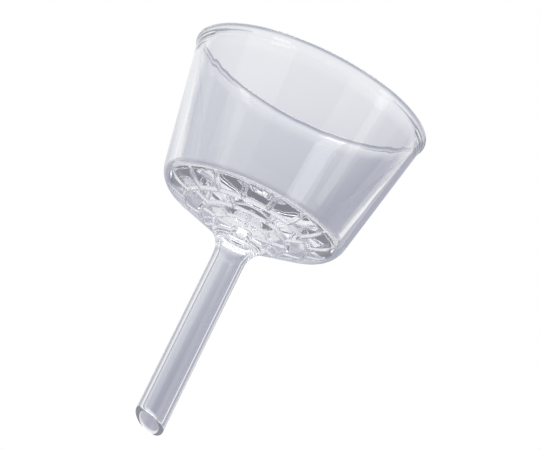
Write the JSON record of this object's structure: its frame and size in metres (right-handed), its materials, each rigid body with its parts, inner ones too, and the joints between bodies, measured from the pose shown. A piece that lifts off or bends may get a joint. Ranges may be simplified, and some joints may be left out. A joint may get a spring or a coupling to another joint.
{
  "type": "buchner funnel",
  "caption": "Glass buchner funnel: tapered cup with a rounded rim over a grooved, dished filter plate with a central drain, a flared neck and a tubular stem with a slanted tip.",
  "frame": {"origin": "on the funnel's axis, at the level of the stem tip's lowest point", "axes": "+Z along the axis from the stem tip up to the mouth; the tip's long side points 52 degrees from +X towards +Y"},
  "size_m": [0.092, 0.092, 0.138],
  "materials": {
    "clear_glass": "clear, smooth, fire-polished at the rim and tip"
  },
  "bodies": {
    "root": {"stem_tube": "clear_glass", "neck_cone": "clear_glass", "filter_plate": "clear_glass", "base_shoulder": "clear_glass", "cup_wall": "clear_glass", "rim_bead": "clear_glass"}
  },
  "joints": []
}
